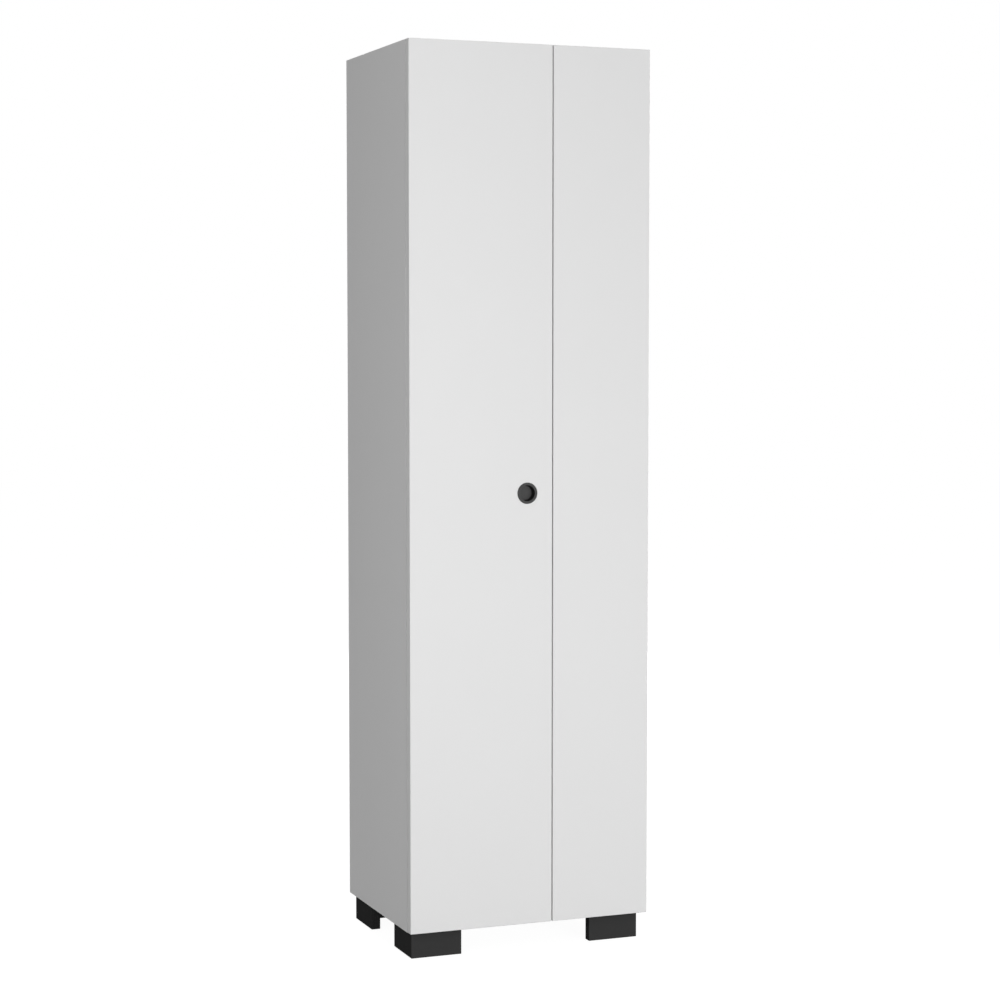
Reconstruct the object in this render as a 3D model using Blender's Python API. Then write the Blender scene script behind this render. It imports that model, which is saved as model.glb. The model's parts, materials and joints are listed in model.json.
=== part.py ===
"""Tall white bathroom cabinet: a five-compartment carcass on four corner feet, closed by two doors of
unequal width on concealed cup hinges. Metres, +Z up, front at -Y, origin on the floor under the middle."""

import math

import bmesh
import bpy
from mathutils import Matrix, Vector

# Overall sizes
WIDTH = 0.482
BODY_HEIGHT = 1.650
FOOT_HEIGHT = 0.0515
CARCASS_DEPTH = 0.350

# Board thicknesses
BOARD = 0.018
DOOR_BOARD = 0.018
BACK_BOARD = 0.003
EDGE_ROUND = 0.0008

# Clearances
SEAT = 0.0003
DOOR_GAP = 0.0025
DOOR_SPLIT = 0.002
DOOR_FOOT_REVEAL = 0.001
SHELF_END_PLAY = 0.0008
SWING_CLEARANCE = 0.00035

# Doors
LEFT_DOOR_WIDTH = 0.2835

# Back panel groove
BACK_INSET = 0.010
GROOVE_DEPTH = 0.008
GROOVE_PLAY = 0.0005

# Shelves
SHELF_COUNT = 4
LOWER_SHELF_COUNT = 1
SHELF_SETBACK = 0.012
SHELF_BACK_PLAY = 0.0015

# Shelf pins
PIN_ROW_FROM_FRONT = 0.058
PIN_ROW_FROM_BACK = 0.051
PIN_PITCH = 0.032
PIN_SPARES = 1
PIN_RADIUS = 0.0025
PIN_HEAD_RADIUS = 0.0035
PIN_IN_BOARD = 0.009
PIN_OUT = 0.008

# Knock-down fittings, placed along each joint from the carcass front and from the back panel
CAM_FROM_FRONT = 0.050
CAM_FROM_BACK = 0.047
DOWEL_FROM_CAM = 0.032
CAM_BORE_RADIUS = 0.0078
CAM_BORE_DEPTH = 0.013
CAM_FROM_END = 0.034
BOLT_RADIUS = 0.0025
DOWEL_RADIUS = 0.004
FITTING_IN_SIDE = 0.011

# Corner feet
FOOT_LEG = 0.100
FOOT_WALL = 0.018
FOOT_SIDE_INSET = 0.010
FOOT_FRONT_INSET = 0.0045
FOOT_REAR_INSET = 0.009
FOOT_EDGE_ROUND = 0.0012
FOOT_PLATE = 0.004
FOOT_PLATE_REACH = 0.086
FOOT_PLATE_CORNER = 0.040
FOOT_SCREW_NEAR = 0.032
FOOT_SCREW_FAR = 0.072

# Screws: shaft radius, head radius, head height, length below the head
FOOT_SCREW = (0.002, 0.004, 0.0024, 0.018)
PLATE_SCREW = (0.0025, 0.004, 0.0018, 0.0145)
CUP_SCREW = (0.00175, 0.003, 0.0006, 0.0125)
ARM_SCREW = (0.002, 0.0035, 0.0018, 0.008)
BRACKET_SCREW = (0.002, 0.004, 0.0022, 0.015)
HEAD_SINK = 0.0002

# Hinge cup
HINGE_FROM_END = 0.110
CUP_RADIUS = 0.0175
CUP_DEPTH = 0.013
CUP_FLOOR = 0.001
CUP_EDGE = 0.003
CUP_FLANGE = 0.0012
CUP_EAR = 0.0010
CUP_RIM = 0.0005
CUP_SCREW_SPACING = 0.048
CUP_SCREW_OFFSET = 0.006
FLANGE_WIDTH = 0.020
FLANGE_END = 0.0065
POCKET_LENGTH = 0.030

# Hinge arm
EYE_RADIUS = 0.0021
EYE_CLEARANCE = 0.0004
HINGE_PIN_RADIUS = 0.001
HINGE_PIN_PLAY = 0.00025
HINGE_PIN_SEAT = 0.0024
LINK_THICKNESS = 0.0022
LINK_WIDTH = 0.0066
ARM_THICKNESS = 0.0035
ARM_WIDTH = 0.013
ARM_START = 0.004
ARM_LENGTH = 0.058
ARM_BEND = 0.005

# Hinge mounting plate
PLATE_RIB_WIDTH = 0.011
PLATE_RIB_HEIGHT = 0.0072
PLATE_RIB_START = 0.016
PLATE_WING_LENGTH = 0.046
PLATE_WING_WIDTH = 0.016
PLATE_WING = 0.0025
PLATE_SCREW_FROM_FRONT = 0.037
PLATE_SCREW_SPACING = 0.032

# Finger pull
PULL_FROM_SPLIT = 0.0515
PULL_HEIGHT = 0.8175
PULL_RADIUS = 0.020
PULL_PROUD = 0.0012
PULL_BODY_RADIUS = 0.0172
PULL_MOUTH_RADIUS = 0.0150
PULL_FLOOR_RADIUS = 0.0138
PULL_RECESS = 0.0125
PULL_FLOOR = 0.0018
PULL_FILLET = 0.001

# Door bumpers
BUMPER_RADIUS = 0.004
BUMPER_FROM_EDGE = 0.022

# Wall bracket
BRACKET_LEG = 0.030
BRACKET_WIDTH = 0.040
BRACKET_SHEET = 0.002
BRACKET_SCREW_SPACING = 0.020
WALL_HOLE_RADIUS = 0.003
WALL_HOLE_DROP = 0.017
BRACKET_SCREW_SHARE = 0.6

# Segments of the round shapes
FINE = 32
ROUND = 20
BORE = 14
SMALL = 8

# Heights
Z_BODY = FOOT_HEIGHT
Z_TOP = FOOT_HEIGHT + BODY_HEIGHT
INNER_HEIGHT = BODY_HEIGHT - 2 * BOARD
COMPARTMENT = (INNER_HEIGHT - SHELF_COUNT * BOARD) / (SHELF_COUNT + 1)
HINGE_HEIGHTS = (Z_BODY + HINGE_FROM_END, (Z_BODY + Z_TOP) / 2, Z_TOP - HINGE_FROM_END)

# Depths: the front of the pull and the rear of the sides are the two faces of the box
Y_REAR = (CARCASS_DEPTH + DOOR_GAP + DOOR_BOARD + PULL_PROUD) / 2
Y_FRONT = Y_REAR - CARCASS_DEPTH
Y_BACK_PANEL = Y_REAR - BACK_INSET - BACK_BOARD
INNER_HALF = WIDTH / 2 - BOARD

# Hinge axis: how far it lies out from the carcass front, and in from the side, where the corner just clears
AXIS_OUT = DOOR_GAP + CUP_DEPTH - CUP_FLOOR - EYE_RADIUS - EYE_CLEARANCE
AXIS_IN = math.sqrt((AXIS_OUT - SWING_CLEARANCE) ** 2 - (AXIS_OUT - DOOR_GAP) ** 2)
CUP_CENTRE = CUP_EDGE + CUP_RADIUS

SIDES = (("left", -1), ("right", 1))


def material(name, colour, roughness, metallic=0.0):
    """A Principled material with one colour."""
    made = bpy.data.materials.new(name)
    made.use_nodes = True
    shader = made.node_tree.nodes["Principled BSDF"]
    shader.inputs["Base Color"].default_value = (*colour, 1.0)
    shader.inputs["Roughness"].default_value = roughness
    shader.inputs["Metallic"].default_value = metallic
    return made


def add_box(mesh, low, high):
    """Add a closed box between two corners."""
    centre = (Vector(low) + Vector(high)) / 2
    size = [abs(b - a) for a, b in zip(low, high)]
    matrix = Matrix.Translation(centre) @ Matrix.Diagonal((*size, 1.0))
    bmesh.ops.create_cube(mesh, size=1.0, matrix=matrix)


def aimed(start, direction):
    """Matrix that stands the Z axis along a direction, with its origin at start."""
    turn = Vector((0, 0, 1)).rotation_difference(Vector(direction)).to_matrix().to_4x4()
    return Matrix.Translation(start) @ turn


def add_turned(mesh, profile, place, segments):
    """Add a closed turned body from a (radius, height) profile; place is a matrix with the axis on Z."""
    rings = []
    for radius, height in profile:
        if radius == 0.0:
            rings.append([mesh.verts.new(place @ Vector((0.0, 0.0, height)))])
            continue
        ring = []
        for i in range(segments):
            angle = 2 * math.pi * i / segments
            point = Vector((radius * math.cos(angle), radius * math.sin(angle), height))
            ring.append(mesh.verts.new(place @ point))
        rings.append(ring)
    for low, high in zip(rings, rings[1:]):
        for i in range(segments):
            j = (i + 1) % segments
            corners = [low[i % len(low)], low[j % len(low)], high[j % len(high)], high[i % len(high)]]
            mesh.faces.new(list(dict.fromkeys(corners)))
    for ring in (rings[0], rings[-1]):
        if len(ring) > 1:
            mesh.faces.new(ring)


def add_rod(mesh, radius, start, end, segments=SMALL):
    """Add a plain cylinder between two points."""
    axis = Vector(end) - Vector(start)
    add_turned(mesh, [(radius, 0.0), (radius, axis.length)], aimed(start, axis), segments)


def add_blind_hole(mesh, radius, mouth, direction, depth):
    """Add the cutter of a blind hole, which starts a little ahead of its mouth."""
    along = Vector(direction)
    add_rod(mesh, radius, Vector(mouth) - along * radius, Vector(mouth) + along * depth)


def add_prism(mesh, outline, depth, axes=(0, 1, 2)):
    """Add an outline drawn on the first two axes, standing on the third from depth[0] to depth[1]."""
    rings = []
    for level in depth:
        ring = []
        for point in outline:
            corner = [0.0, 0.0, 0.0]
            corner[axes[0]], corner[axes[1]], corner[axes[2]] = point[0], point[1], level
            ring.append(mesh.verts.new(corner))
        rings.append(ring)
    low, high = rings
    mesh.faces.new(low)
    mesh.faces.new(high)
    for i in range(len(outline)):
        j = (i + 1) % len(outline)
        mesh.faces.new([low[i], low[j], high[j], high[i]])


def add_screw(mesh, sizes, seat, direction):
    """Add a screw whose head rests at seat, sunk a hair into it, driven along direction."""
    shaft, head, head_height, length = sizes
    profile = [(head, -head_height), (head, HEAD_SINK), (shaft, HEAD_SINK), (shaft, length)]
    add_turned(mesh, profile, aimed(seat, direction), SMALL)


def add_screw_hole(mesh, sizes, seat, direction, plate):
    """Add the cutter of a screw's hole in the board under a plate of that thickness."""
    along = Vector(direction)
    start = Vector(seat) + along * plate / 2
    end = Vector(seat) + along * (sizes[3] + SEAT)
    add_rod(mesh, sizes[0] + SEAT, start, end)


def place_object(name, mesh, surface=None, location=(0, 0, 0), turn=0.0, parent=None):
    """Turn a finished bmesh into an object; turn about Y makes a left piece a right one."""
    bmesh.ops.recalc_face_normals(mesh, faces=mesh.faces)
    data = bpy.data.meshes.new(name)
    mesh.to_mesh(data)
    mesh.free()
    if surface:
        data.materials.append(surface)
    made = bpy.data.objects.new(name, data)
    made.location = location
    made.rotation_euler = (0.0, turn, 0.0)
    made.parent = parent
    bpy.context.scene.collection.objects.link(made)
    return made


def shade_round(made):
    """Smooth shading for a round piece, with its corners kept sharp."""
    made.data.shade_smooth()
    made.data.set_sharp_from_angle(angle=math.radians(35))
    return made


def round_edges(made, width, segments=2):
    """Round every edge of a board or a moulding."""
    bevel = made.modifiers.new("rounded_edges", "BEVEL")
    bevel.width = width
    bevel.segments = segments
    bevel.limit_method = "ANGLE"
    return made


def combine(made, tool_mesh, operation):
    """Cut a bmesh, drawn in the object's own frame, out of the object, or join it on."""
    tool = place_object("%s_%s_%d" % (made.name, operation.lower(), len(made.modifiers)), tool_mesh)
    tool.location = made.location
    tool.rotation_euler = made.rotation_euler
    tool.parent = made.parent
    tool.hide_render = True
    tool.display_type = "WIRE"
    change = made.modifiers.new(operation.lower(), "BOOLEAN")
    change.operation = operation
    change.solver = "EXACT"
    change.object = tool
    return made


def cut(made, tool_mesh):
    return combine(made, tool_mesh, "DIFFERENCE")


def join(made, tool_mesh):
    return combine(made, tool_mesh, "UNION")


# Where the boards meet and what they hold

def shelf_bottom(index):
    """Underside of shelf 1 to SHELF_COUNT, counted from the bottom."""
    return Z_BODY + BOARD + index * COMPARTMENT + (index - 1) * BOARD


def fixed_shelf():
    """Number of the fixed shelf, which follows the loose shelves below it."""
    return LOWER_SHELF_COUNT + 1


def joint_levels():
    """Undersides of the three boards that are joined to the sides."""
    return (Z_BODY, shelf_bottom(fixed_shelf()), Z_TOP - BOARD)


def cam_places():
    """World Y of the cams along a joint."""
    return (Y_FRONT + CAM_FROM_FRONT, Y_BACK_PANEL - CAM_FROM_BACK)


def dowel_places():
    """World Y of the dowels, between the cams."""
    near, far = cam_places()
    return (near + DOWEL_FROM_CAM, far - DOWEL_FROM_CAM)


def loose_shelves():
    """Numbers of the shelves that rest on pins."""
    return [i for i in range(1, SHELF_COUNT + 1) if i != fixed_shelf()]


def pin_level(index):
    """Height of the pins under a loose shelf."""
    return shelf_bottom(index) - SEAT - PIN_HEAD_RADIUS


def pin_rows():
    """World Y of the two rows of shelf pins."""
    return (Y_FRONT + PIN_ROW_FROM_FRONT, Y_BACK_PANEL - PIN_ROW_FROM_BACK)


# Side panels: full-height boards with every hole that the fittings need

def side_holes(side):
    """Cutters of one side's groove, fitting holes, shelf-pin holes and plate screw holes."""
    mesh = bmesh.new()
    inner = side * INNER_HALF
    into = (side, 0, 0)
    add_box(mesh, (inner - side * BOARD / 2, Y_BACK_PANEL - SEAT, Z_BODY + BOARD - GROOVE_DEPTH),
            (inner + side * GROOVE_DEPTH, Y_BACK_PANEL + BACK_BOARD + SEAT, Z_TOP - BOARD + GROOVE_DEPTH))
    for level in joint_levels():
        middle = level + BOARD / 2
        for y in cam_places():
            add_blind_hole(mesh, BOLT_RADIUS + SEAT, (inner, y, middle), into, FITTING_IN_SIDE + SEAT)
        for y in dowel_places():
            add_blind_hole(mesh, DOWEL_RADIUS + SEAT, (inner, y, middle), into, FITTING_IN_SIDE + SEAT)
    for index in loose_shelves():
        for step in range(-PIN_SPARES, PIN_SPARES + 1):
            for y in pin_rows():
                mouth = (inner, y, pin_level(index) + step * PIN_PITCH)
                add_blind_hole(mesh, PIN_RADIUS + SEAT, mouth, into, PIN_IN_BOARD + SEAT)
    for height in HINGE_HEIGHTS:
        for seat in plate_screw_seats(side, height):
            add_screw_hole(mesh, PLATE_SCREW, seat, into, PLATE_WING)
    return mesh


def plate_screw_seats(side, height):
    """World places where the two screw heads of a hinge's mounting plate rest."""
    x = side * (INNER_HALF - SEAT - PLATE_WING)
    y = Y_FRONT + PLATE_SCREW_FROM_FRONT
    return [(x, y, height + half) for half in (-PLATE_SCREW_SPACING / 2, PLATE_SCREW_SPACING / 2)]


def build_side(label, side, surface):
    mesh = bmesh.new()
    add_box(mesh, (side * INNER_HALF, Y_FRONT, Z_BODY), (side * WIDTH / 2, Y_REAR, Z_TOP))
    made = place_object("side_" + label, mesh, surface)
    cut(round_edges(made, EDGE_ROUND), side_holes(side))


# Top, bottom and fixed shelf: boards between the sides, with glued dowels and cam bolts in their ends

def fitting_studs(level):
    """The ends of the dowels and cam bolts that stand out of a board into the sides."""
    mesh = bmesh.new()
    middle = level + BOARD / 2
    for _, side in SIDES:
        root, tip = side * (INNER_HALF - BOARD / 2), side * (INNER_HALF + FITTING_IN_SIDE)
        for y in cam_places():
            add_rod(mesh, BOLT_RADIUS, (root, y, middle), (tip, y, middle))
        for y in dowel_places():
            add_rod(mesh, DOWEL_RADIUS, (root, y, middle), (tip, y, middle))
    return mesh


def cam_bores(level):
    """Cutters of the blind bores that hold the cams, in a board's underside."""
    mesh = bmesh.new()
    for _, side in SIDES:
        x = side * (INNER_HALF - CAM_FROM_END)
        for y in cam_places():
            low, high = level - CAM_BORE_RADIUS, level + CAM_BORE_DEPTH
            add_rod(mesh, CAM_BORE_RADIUS, (x, y, low), (x, y, high), BORE)
    return mesh


def groove_cutter(face, upward):
    """Cutter of the back panel's groove in the board whose face lies at that height."""
    mesh = bmesh.new()
    add_box(mesh, (-WIDTH / 2, Y_BACK_PANEL - SEAT, face - upward * BOARD / 2),
            (WIDTH / 2, Y_BACK_PANEL + BACK_BOARD + SEAT, face + upward * GROOVE_DEPTH))
    return mesh


def build_joined_board(name, level, front, rear, surface):
    mesh = bmesh.new()
    add_box(mesh, (-INNER_HALF + SEAT, front, level), (INNER_HALF - SEAT, rear, level + BOARD))
    made = place_object(name, mesh, surface)
    round_edges(made, EDGE_ROUND)
    join(made, fitting_studs(level))
    return cut(made, cam_bores(level))


def build_joined_boards(surface):
    bottom, shelf, top = joint_levels()
    made = build_joined_board("bottom_panel", bottom, Y_FRONT, Y_REAR, surface)
    cut(made, groove_cutter(bottom + BOARD, -1))
    cut(made, foot_screw_holes())
    made = build_joined_board("top_panel", top, Y_FRONT, Y_REAR, surface)
    cut(made, groove_cutter(top, 1))
    cut(made, bracket_screw_holes())
    front, rear = Y_FRONT + SHELF_SETBACK, Y_BACK_PANEL - SHELF_BACK_PLAY
    build_joined_board("shelf_fixed", shelf, front, rear, surface)


# Back panel: a thin board let into grooves all round, with the wall screw's hole

def wall_hole():
    """World X and Z of the hole for the wall screw."""
    return 0.0, Z_TOP - BOARD - WALL_HOLE_DROP


def build_back(surface):
    half = INNER_HALF + GROOVE_DEPTH - GROOVE_PLAY
    low = Z_BODY + BOARD - GROOVE_DEPTH + GROOVE_PLAY
    high = Z_TOP - BOARD + GROOVE_DEPTH - GROOVE_PLAY
    mesh = bmesh.new()
    add_box(mesh, (-half, Y_BACK_PANEL, low), (half, Y_BACK_PANEL + BACK_BOARD, high))
    made = place_object("back_panel", mesh, surface)
    hole = bmesh.new()
    x, z = wall_hole()
    add_rod(hole, WALL_HOLE_RADIUS, (x, Y_BACK_PANEL - BACK_BOARD, z), (x, Y_BACK_PANEL + 2 * BACK_BOARD, z))
    cut(made, hole)


# Loose shelves and the pins they rest on

def build_shelves(surface):
    half = INNER_HALF - SHELF_END_PLAY
    for number, index in enumerate(loose_shelves(), 1):
        level = shelf_bottom(index)
        mesh = bmesh.new()
        add_box(mesh, (-half, Y_FRONT + SHELF_SETBACK, level),
                (half, Y_BACK_PANEL - SHELF_BACK_PLAY, level + BOARD))
        round_edges(place_object("shelf_%d" % number, mesh, surface), EDGE_ROUND)


def build_shelf_pins(surface):
    step = PIN_IN_BOARD + SEAT
    profile = [(PIN_RADIUS, 0.0), (PIN_RADIUS, step), (PIN_HEAD_RADIUS, step),
               (PIN_HEAD_RADIUS, PIN_IN_BOARD + PIN_OUT)]
    for number, index in enumerate(loose_shelves(), 1):
        for label, side in SIDES:
            for row, y in zip(("front", "rear"), pin_rows()):
                mesh = bmesh.new()
                tip = (side * (INNER_HALF + PIN_IN_BOARD), y, pin_level(index))
                add_turned(mesh, profile, aimed(tip, (-side, 0, 0)), SMALL)
                shade_round(place_object("shelf_pin_%d_%s_%s" % (number, row, label), mesh, surface))


# Corner feet: an L-shaped wall with a fixing plate across its inner corner at the top, and its three screws

def foot_points(outline, side, rear):
    """World places of points given by their distances from a foot's outer corner along its two legs."""
    x = side * (WIDTH / 2 - FOOT_SIDE_INSET)
    y = Y_REAR - FOOT_REAR_INSET if rear else Y_FRONT + FOOT_FRONT_INSET
    away = -1 if rear else 1
    return [(x - side * a, y + away * b) for a, b in outline]


def foot_screw_seats(side, rear):
    """World places where a foot's screw heads rest, under its plate."""
    near, far = FOOT_SCREW_NEAR, FOOT_SCREW_FAR
    level = Z_BODY - SEAT - FOOT_PLATE
    return [(x, y, level) for x, y in foot_points([(near, near), (far, near), (near, far)], side, rear)]


def foot_screw_holes():
    """Cutters of the foot screws' holes in the bottom panel."""
    mesh = bmesh.new()
    for _, side in SIDES:
        for rear in (False, True):
            for seat in foot_screw_seats(side, rear):
                add_screw_hole(mesh, FOOT_SCREW, seat, (0, 0, 1), FOOT_PLATE)
    return mesh


def foot_mesh(side, rear):
    """Closed mesh of a foot: its L to the full height, and its plate only at the top."""
    leg, wall, reach, corner = FOOT_LEG, FOOT_WALL, FOOT_PLATE_REACH, FOOT_PLATE_CORNER
    top = Z_BODY - SEAT
    plate = top - FOOT_PLATE
    mesh = bmesh.new()
    made = {}

    def vert(a, b, z):
        if (a, b, z) not in made:
            made[a, b, z] = mesh.verts.new((*foot_points([(a, b)], side, rear)[0], z))
        return made[a, b, z]

    def upright(points):
        """One face between two levels on each stretch of a plan line; a point is (a, b, lower level)."""
        for (a, b, low), (c, d, _) in zip(points, points[1:]):
            mesh.faces.new([vert(a, b, low), vert(c, d, low), vert(c, d, top), vert(a, b, top)])

    l_shape = [(0, 0), (leg, 0), (leg, wall), (wall, wall), (wall, leg), (0, leg)]
    mesh.faces.new([vert(a, b, 0.0) for a, b in l_shape])
    plate_edge = [(reach, wall), (reach, corner), (corner, reach), (wall, reach)]
    top_outline = [(0, 0), (leg, 0), (leg, wall), *plate_edge, (wall, leg), (0, leg)]
    mesh.faces.new([vert(a, b, top) for a, b in top_outline])
    mesh.faces.new([vert(a, b, plate) for a, b in [(wall, wall), *plate_edge]])
    upright([(wall, leg, 0.0), (0, leg, 0.0), (0, 0, 0.0), (leg, 0, 0.0), (leg, wall, 0.0)])
    upright([(a, b, plate) for a, b in plate_edge])
    inner_corner = [vert(wall, wall, 0.0), vert(wall, wall, plate)]
    mesh.faces.new([vert(leg, wall, 0.0), *inner_corner, vert(reach, wall, plate),
                    vert(reach, wall, top), vert(leg, wall, top)])
    mesh.faces.new([vert(wall, leg, 0.0), *inner_corner, vert(wall, reach, plate),
                    vert(wall, reach, top), vert(wall, leg, top)])
    return mesh


def build_feet(surface):
    for label, side in SIDES:
        for end, rear in (("front", False), ("rear", True)):
            made = place_object("foot_%s_%s" % (end, label), foot_mesh(side, rear), surface)
            round_edges(made, FOOT_EDGE_ROUND, 1)
            screws = bmesh.new()
            for seat in foot_screw_seats(side, rear):
                add_screw(screws, FOOT_SCREW, seat, (0, 0, 1))
            join(made, screws)


# Wall bracket: a steel angle screwed under the top panel, with one hole for the wall screw

def bracket_screw_seats():
    """World places where the bracket's two screw heads rest."""
    half = BRACKET_SCREW_SPACING / 2
    y = Y_BACK_PANEL - SEAT - BRACKET_LEG * BRACKET_SCREW_SHARE
    z = Z_TOP - BOARD - SEAT - BRACKET_SHEET
    return [(-half, y, z), (half, y, z)]


def bracket_screw_holes():
    """Cutters of the bracket screws' holes in the top panel."""
    mesh = bmesh.new()
    for seat in bracket_screw_seats():
        add_screw_hole(mesh, BRACKET_SCREW, seat, (0, 0, 1), BRACKET_SHEET)
    return mesh


def build_bracket(surface):
    rear, top, sheet = Y_BACK_PANEL - SEAT, Z_TOP - BOARD - SEAT, BRACKET_SHEET
    front, low = rear - BRACKET_LEG, top - BRACKET_LEG
    outline = [(rear, top), (front, top), (front, top - sheet), (rear - sheet, top - sheet),
               (rear - sheet, low), (rear, low)]
    mesh = bmesh.new()
    add_prism(mesh, outline, (-BRACKET_WIDTH / 2, BRACKET_WIDTH / 2), axes=(1, 2, 0))
    made = place_object("wall_bracket", mesh, surface)
    hole, screws = bmesh.new(), bmesh.new()
    x, z = wall_hole()
    add_rod(hole, WALL_HOLE_RADIUS, (x, rear - 2 * sheet, z), (x, rear + sheet, z))
    for seat in bracket_screw_seats():
        add_screw(screws, BRACKET_SCREW, seat, (0, 0, 1))
    cut(made, hole)
    join(made, screws)


# Hinges, drawn for the left side in a frame whose origin lies on the hinge axis at the hinge's height.
# A section point is given by its distances in from the outer side and out from the carcass front.

def section(inward, outward):
    """Hinge-frame X and Y of a section point."""
    return inward - AXIS_IN, AXIS_OUT - outward


def arc(centre, radius, start, end, steps):
    """Points of an arc, both ends included, with angles in degrees."""
    points = []
    for i in range(steps + 1):
        angle = math.radians(start + (end - start) * i / steps)
        points.append((centre[0] + radius * math.cos(angle), centre[1] + radius * math.sin(angle)))
    return points


def pocket_start():
    """How far in from the outer side the cup's pocket starts, just clear of the arm's eye."""
    return AXIS_IN - EYE_RADIUS - EYE_CLEARANCE


def pocket_cutter():
    """Cutter of the pocket in which the arm's end moves."""
    mesh = bmesh.new()
    half = LINK_WIDTH / 2 + SEAT
    start, mouth = section(pocket_start(), DOOR_GAP - 3 * CUP_FLANGE)
    end, floor = section(pocket_start() + POCKET_LENGTH, DOOR_GAP + CUP_DEPTH - CUP_FLOOR)
    add_box(mesh, (start, floor, -half), (end, mouth, half))
    return mesh


def pin_seat_reach():
    """Half the length of a hinge pin: half the pocket, and its seat in the cup's wall."""
    return LINK_WIDTH / 2 + SEAT + HINGE_PIN_SEAT


def pin_bore_cutter(reach):
    mesh = bmesh.new()
    add_rod(mesh, HINGE_PIN_RADIUS + HINGE_PIN_PLAY, (0, 0, -reach), (0, 0, reach))
    return mesh


def flange_ears():
    """The two ears of the cup's flange as one plate with round corners."""
    x, back = section(CUP_CENTRE + CUP_SCREW_OFFSET, DOOR_GAP)
    half, reach = FLANGE_WIDTH / 2, CUP_SCREW_SPACING / 2 + FLANGE_END
    corner = FLANGE_WIDTH / 4
    outline = []
    for sign_x, sign_z, start in ((1, 1, 0), (-1, 1, 90), (-1, -1, 180), (1, -1, 270)):
        centre = (x + sign_x * (half - corner), sign_z * (reach - corner))
        outline += arc(centre, corner, start, start + 90, 3)
    mesh = bmesh.new()
    add_prism(mesh, outline, (back + SEAT, back + CUP_EAR), axes=(0, 2, 1))
    return mesh


def cup_screw_seats(frame_x, back):
    """Places of the cup's two screw heads, for a hinge at height 0 and a door whose back is at that Y."""
    return [(frame_x, back + CUP_EAR, half) for half in (-CUP_SCREW_SPACING / 2, CUP_SCREW_SPACING / 2)]


def build_cup(name, height, turn, axis, surface):
    """Cup let into the door: a rimmed body, the flange's ears, pocket, the pin's bore and two screws."""
    x, back = section(CUP_CENTRE, DOOR_GAP)
    mesh = bmesh.new()
    rim = CUP_RADIUS + CUP_RIM
    profile = [(rim, -CUP_FLANGE), (rim, -2 * SEAT), (CUP_RADIUS, -2 * SEAT), (CUP_RADIUS, CUP_DEPTH)]
    add_turned(mesh, profile, aimed((x, back, 0), (0, -1, 0)), ROUND)
    made = shade_round(place_object(name, mesh, surface, (0, 0, height), turn, axis))
    join(made, flange_ears())
    cut(made, pocket_cutter())
    cut(made, pin_bore_cutter(pin_seat_reach() + SEAT))
    screws = bmesh.new()
    for seat in cup_screw_seats(section(CUP_CENTRE + CUP_SCREW_OFFSET, 0.0)[0], back):
        add_screw(screws, CUP_SCREW, seat, (0, -1, 0))
    join(made, screws)


def build_pin(name, height, axis, surface):
    mesh = bmesh.new()
    reach = pin_seat_reach()
    add_rod(mesh, HINGE_PIN_RADIUS, (0, 0, -reach), (0, 0, reach))
    shade_round(place_object(name, mesh, surface, (0, 0, height), 0.0, axis))


def arm_seat():
    """How far in from the outer side the arm's underside lies."""
    return BOARD + SEAT + PLATE_RIB_HEIGHT + SEAT


def link_outline():
    """Section of the arm's end: an eye round the axis, a bar out of the cup and a bend back to the arm."""
    half = LINK_THICKNESS / 2
    eye = math.degrees(math.asin(half / EYE_RADIUS))
    outer_x = section(arm_seat() + ARM_THICKNESS, 0.0)[0]
    inner_x = section(arm_seat(), 0.0)[0]
    end_y = section(0.0, -ARM_START - ARM_BEND)[1]
    inner_bend = ARM_BEND - LINK_THICKNESS
    points = arc((0, 0), EYE_RADIUS, eye, 360 - eye, 10)
    points += arc((outer_x - ARM_BEND, -half + ARM_BEND), ARM_BEND, -90, 0, 4)
    points += [(outer_x, end_y), (inner_x, end_y)]
    points += arc((inner_x - inner_bend, half + inner_bend), inner_bend, 0, -90, 3)
    return points


def build_arm(name, location, turn, surface):
    """Hinge arm: the link with its eye, the wide bar over the mounting plate, and the screw that holds it."""
    mesh = bmesh.new()
    add_prism(mesh, link_outline(), (-LINK_WIDTH / 2, LINK_WIDTH / 2))
    made = shade_round(place_object(name, mesh, surface, location, turn))
    cut(made, pin_bore_cutter(LINK_WIDTH))
    low_x, start_y = section(arm_seat(), -ARM_START)
    high_x, end_y = section(arm_seat() + ARM_THICKNESS, -ARM_START - ARM_LENGTH)
    mesh = bmesh.new()
    add_box(mesh, (low_x, start_y, -ARM_WIDTH / 2), (high_x, end_y, ARM_WIDTH / 2))
    join(made, mesh)
    mesh = bmesh.new()
    add_screw(mesh, ARM_SCREW, (high_x, section(0.0, -PLATE_SCREW_FROM_FRONT)[1], 0), (-1, 0, 0))
    join(made, mesh)


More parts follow.
